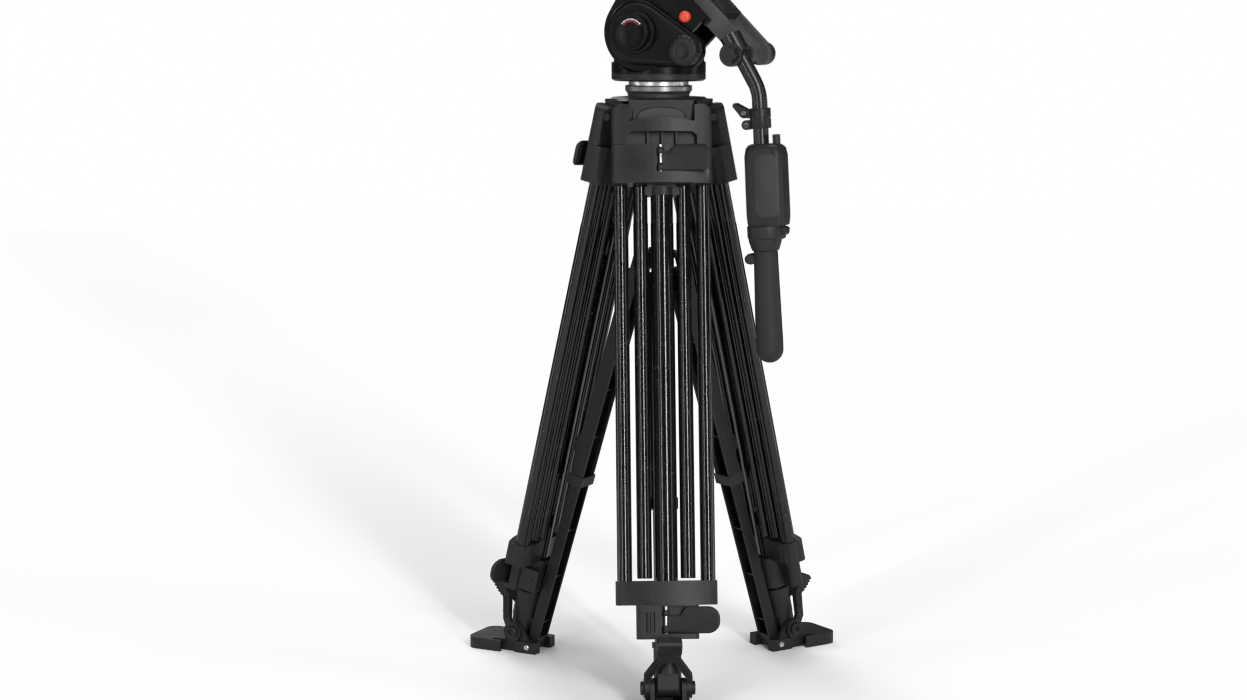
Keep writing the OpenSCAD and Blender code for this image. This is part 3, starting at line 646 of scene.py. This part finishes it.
def plate_pads():
    """Two ribbed rubber strips on the camera plate."""
    pads = Sculpt()
    ribs = 22
    pitch = 4.1
    for y in (-17, 17):
        pads.plate(rounded_box(94, 11, 2, 4, 0, y),
                   [(0, PLATE_TOP - 0.1), (0, PLATE_TOP + 0.7), (0.4, PLATE_TOP + 1.0)])
        for k in range(ribs):
            pads.plate(rounded_box(1.6, 10, 0.6, 2, -43.5 + pitch * k, y),
                       [(0, PLATE_TOP + 0.8), (0.3, PLATE_TOP + 1.5)])
    pads.become("plate_pads", CRADLE, "camera_plate", RUBBER, "grip_rubber")


def camera_screws():
    """Threads of the 1/4 inch and 3/8 inch screws."""
    screws = Sculpt()
    turns = 9
    pitch = 0.62
    for x, r in ((-16, 3.175), (18, 4.7625)):
        profile = []
        for k in range(turns):
            z = PLATE_TOP + 0.2 + pitch * k
            profile += [(r + 0.12, z), (r - 0.35, z + pitch / 2)]
        profile += [(r - 0.2, PLATE_TOP + 5.6), (r - 0.9, PLATE_TOP + 5.9)]
        screws.lathe(profile, Matrix.Translation((x, 0, 0)), 32)
    screws.become("camera_screw_threads", CRADLE, "camera_plate", BRIGHT, "bright_metal")


# ---------------------------------------------------------------- pan handle

CLAMP_SCREWS = ((-17.5, -13), (-15.5, -26))
SQUIRCLE_STEPS = 56
GRIP_R = 15.0
GRIP_TIP = -273.0
GRIP_STEPS = 15


def remote_clamp():
    """Split sleeve of the remote's bracket, with a wing lever and a screw lug."""
    s = Sculpt()
    s.lathe([(8.9, -8), (11.2, -8), (11.7, -8.8), (11.7, -18.2), (11.2, -18.6), (11.2, -19.4), (11.7, -19.8),
             (11.7, -29.2), (11.2, -30), (8.9, -30)], steps=64)
    flat = turned(0, 0, 0, "Y", -1)
    levels = [(0.8, -5.0), (0, -4.2), (0, 4.2), (0.8, 5.0)]
    wing = hull(circle(5.6, -17.5, -13), circle(3.0, -27.5, -4.5))
    neck = hull(circle(4.6, -17, -13.5), circle(4.6, -9, -14.5))
    lug = hull(circle(5.4, -15.5, -26), circle(4.4, -8, -26))
    for shape in (wing, neck, lug):
        s.plate(shape, levels, flat)
    s.become("clamp_sleeve", HANDLE, "remote_clamp", CASTING_DARK, "casting", smooth=45,
             replaces=("remote_clamp",))
    screws = Sculpt()
    for x, z in CLAMP_SCREWS:
        socket_cap(screws, turned(x, -4.8, z, "Y", -1), 2.9, 1.1, 1.5, 0.9)
    screws.become("clamp_screws", HANDLE, "remote_clamp", SCREW_METAL, "bright_metal")


def squircle(w, h, power, x, z):
    """A ring at height z between an oval and a box; a higher power makes it squarer."""
    points = []
    for k in range(SQUIRCLE_STEPS):
        c, d = superellipse(TAU * k / SQUIRCLE_STEPS, (2 / power, 2 / power))
        points.append(Vector((x + w / 2 * c, h / 2 * d, z)))
    return points


def remote_housing():
    s = Sculpt()
    # height, width, depth, squareness, offset towards the rear
    body = [(-47.0, 31, 24, 2.6, 4), (-48.5, 37, 29, 3.0, 4.4), (-52, 41.5, 32.5, 4.0, 5),
            (-60, 43.5, 34, 5.0, 5), (-100, 44, 34, 5.0, 5), (-126, 44, 34, 5.0, 5),
            (-133, 43, 33.6, 4.4, 5), (-136, 41.5, 33, 4.0, 5)]
    s.loft([squircle(w, h, power, x, z) for z, w, h, power, x in body])
    s.lathe([(19.0, -136), (20.6, -136.6), (21, -138), (21, -148.5), (20.2, -150.4), (18.4, -151.2)],
            Matrix.Translation((2, 0, 0)))
    s.lathe([(17.8, -150), (18, -151.6), (17.7, -154), (15.6, -161), (14.6, -163.4), (13.2, -164)], steps=64)
    s.lathe([(3.2, -37), (4.3, -37.6), (4.3, -47), (4.3, -50)], Matrix.Translation((18, -0.5, 0)), 32)
    s.become("remote_body", HANDLE, "pan_handle", MOULDING, "moulding", smooth=40,
             replaces=("remote_housing",))


def housing_details():
    """A thumb tab on the housing's flange and the panel on its front."""
    tab = Sculpt().plate(hull(circle(2.4, 24.6, -140.5), circle(2.4, 24.2, -144), circle(2, 19, -147),
                              circle(2, 18, -138.5)),
                         [(0.7, -6), (0, -5.2), (0, 5.2), (0.7, 6)], turned(0, 0, 0, "Y", -1))
    tab.become("flange_tab", HANDLE, "pan_handle", CASTING_DARK, "moulding")
    panel = Sculpt().plate(rounded_box(27, 68, 8, 6, 10.5, -92), [(0, 0), (0, 0.75), (0.5, 1.1)],
                           turned(0, -16.6, 0, "Y", -1))
    panel.become("housing_panel", HANDLE, "pan_handle", PANEL, "moulding")


def grip():
    """Rubber grip with a round end."""
    profile = [(12.6, -164.2), (13.1, -165.2), (13.3, -180), (13.8, -205), (14.5, -240), (GRIP_R, -262),
               (GRIP_R, -271)]
    for k in range(1, GRIP_STEPS):
        a = math.pi / 2 * k / GRIP_STEPS
        profile.append((GRIP_R * math.cos(a), GRIP_TIP - GRIP_R * math.sin(a)))
    profile.append((0.6, GRIP_TIP - GRIP_R))
    Sculpt().lathe(profile, steps=72).become(
        "grip_sleeve", HANDLE, "pan_handle", RUBBER, "grip_rubber", smooth=60, replaces=("grip",))


def wheel_holder():
    """Two cheeks and the pin that hold the rocker wheel."""
    cheeks = Sculpt()
    for sign in (-1, 1):
        outline = [(x, -sign * z) for x, z in hull(circle(5.2, WHEEL_X, WHEEL_Z), circle(4, -11, WHEEL_Z))]
        cheeks.plate(outline, [(0.5, 5.4), (0, 5.9), (0, 7.4), (0.6, 8.0)], turned(0, 0, 0, "Y", sign))
    cheeks.become("wheel_cheeks", HANDLE, "pan_handle", MOULDING, "moulding")
    Sculpt().lathe([(1.3, -7), (1.3, 7)], turned(WHEEL_X, 0, WHEEL_Z), 20).become(
        "wheel_pin", HANDLE, "pan_handle", SCREW_METAL, "bright_metal")


def zoom_wheel():
    def teeth(r, z, a):
        return r - (0.9 * (0.5 + 0.5 * math.cos(14 * a)) if r > 5 else 0)

    place = turned(WHEEL_X, 0, WHEEL_Z, "Y", -1)
    Sculpt().lathe([(4.6, -5), (6.0, -4.2), (6.0, 4.2), (4.6, 5)], place, 112, teeth).become(
        "zoom_roller", HANDLE, "zoom_wheel", RUBBER, "grip_rubber", replaces=("zoom_wheel",))


# ---------------------------------------------------------------- studio

FLOOR_HALF = 6
FLOOR_DROP = 0.0008
FILL = 0.08
BODY_MIDDLE = (0, 0.04, 0.40)
LIGHTS = {  # place, target, size in metres, watts
    "key": ((1.1, -2.5, 2.3), BODY_MIDDLE, (0.8, 0.8), 16),
    "line_right": ((0.75, -2.4, 1.15), (0, -0.1, 1.0), (0.10, 1.7), 36),
    "line_left": ((-1.5, -2.1, 1.15), (0, -0.1, 1.0), (0.08, 1.9), 13),
    "strip_left": ((-1.9, -1.2, 1.15), (0, 0, 1.0), (0.25, 3.0), 6),
    "strip_right": ((2.1, -1.0, 1.15), (0, 0, 1.0), (0.25, 3.0), 8),
    "low_left": ((-2.4, 0.2, 0.35), (0, 0, 0.35), (0.2, 1.0), 5),
    "low_right": ((2.4, 0.2, 0.35), (0, 0, 0.35), (0.2, 1.0), 5),
    "top": ((0, 0.3, 2.8), BODY_MIDDLE, (1.4, 1.4), 24),
    "back": ((-0.8, 2.6, 1.8), BODY_MIDDLE, (1.2, 1.0), 18),
}
CAMERA_AWAY = 2.75
CAMERA_HEIGHT = 0.76
CAMERA_SWING = math.radians(-93.6)
CAMERA_TURN = math.radians(0.83)
CAMERA_PITCH = math.radians(-8)
CAMERA_LENS = 69.6


def keep_under_shoe(floor):
    """Keeps the floor level with the front shoe's sole when a pose moves the legs."""
    low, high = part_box("shoe_front")
    mark = bpy.data.objects.new("sole_mark", None)
    bpy.context.scene.collection.objects.link(mark)
    mark.location = ((low.x + high.x) / 2, (low.y + high.y) / 2, floor.location.z)
    bpy.context.view_layer.update()
    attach(mark, "shoe_front")
    follow = floor.constraints.new("COPY_LOCATION")
    follow.target = mark
    follow.use_x = follow.use_y = False


def paper_floor():
    floor = bpy.data.objects.new("floor", bpy.data.meshes.new("floor"))
    corners = [(x * FLOOR_HALF, y * FLOOR_HALF, 0) for x, y in ((-1, -1), (1, -1), (1, 1), (-1, 1))]
    floor.data.from_pydata(corners, [], [(0, 1, 2, 3)])
    pale = Paint("floor_paper")
    floor.data.materials.append(pale.set(Base_Color=rgb(0.9), Roughness=0.9,
                                         Normal=pale.bump(pale.noise(60, 3), 0.05, 0.001)))
    bpy.context.scene.collection.objects.link(floor)
    floor.location.z = -FLOOR_DROP
    floor.is_shadow_catcher = True
    keep_under_shoe(floor)


def white_surroundings():
    """A white backdrop for the camera, and a faint even fill for everything else."""
    world = bpy.data.worlds.new("studio")
    bpy.context.scene.world = world
    world.use_nodes = True
    nodes, links = world.node_tree.nodes, world.node_tree.links
    back = nodes["Background"]
    path = nodes.new("ShaderNodeLightPath")
    glow = nodes.new("ShaderNodeBackground")
    glow.inputs["Color"].default_value = (1, 1, 1, 1)
    glow.inputs["Strength"].default_value = 1.0
    back.inputs["Color"].default_value = (1, 1, 1, 1)
    back.inputs["Strength"].default_value = FILL
    mix = nodes.new("ShaderNodeMixShader")
    links.new(path.outputs["Is Camera Ray"], mix.inputs[0])
    links.new(back.outputs[0], mix.inputs[1])
    links.new(glow.outputs[0], mix.inputs[2])
    links.new(mix.outputs[0], nodes["World Output"].inputs[0])


def area_light(name, place, target, size, power):
    data = bpy.data.lights.new(name, "AREA")
    data.shape = "RECTANGLE"
    data.size, data.size_y = size
    data.energy = power
    light = bpy.data.objects.new(name, data)
    bpy.context.scene.collection.objects.link(light)
    light.location = place
    light.rotation_mode = "QUATERNION"
    light.rotation_quaternion = (Vector(target) - Vector(place)).to_track_quat("-Z", "Y")


def camera():
    axis = joint_at("pan")
    data = bpy.data.cameras.new("camera")
    data.lens = CAMERA_LENS
    data.clip_start, data.clip_end = 0.05, 50
    cam = bpy.data.objects.new("camera", data)
    bpy.context.scene.collection.objects.link(cam)
    bpy.context.scene.camera = cam
    cam.location = (axis.x + CAMERA_AWAY * math.cos(CAMERA_SWING),
                    axis.y + CAMERA_AWAY * math.sin(CAMERA_SWING), CAMERA_HEIGHT)
    yaw = CAMERA_SWING + math.pi + CAMERA_TURN
    look = Vector((math.cos(yaw) * math.cos(CAMERA_PITCH), math.sin(yaw) * math.cos(CAMERA_PITCH),
                   math.sin(CAMERA_PITCH)))
    cam.rotation_mode = "QUATERNION"
    cam.rotation_quaternion = look.to_track_quat("-Z", "Y")


# ---------------------------------------------------------------- everything

for side in SIDES:
    dress_leg(side)
    flip_lever("top", side)
    flip_lever("lower", side)
    foot_fittings(side)
    arm_screw(side)
    badge(side)
dress_head()
side_covers()
drag_dial()
lock_knob()
release_button()
plate_pads()
camera_screws()
remote_clamp()
remote_housing()
housing_details()
grip()
wheel_holder()
zoom_wheel()
paper_floor()
white_surroundings()
for name, settings in LIGHTS.items():
    area_light(name, *settings)
camera()

bpy.context.scene.view_settings.view_transform = "Standard"
bpy.context.view_layer.update()
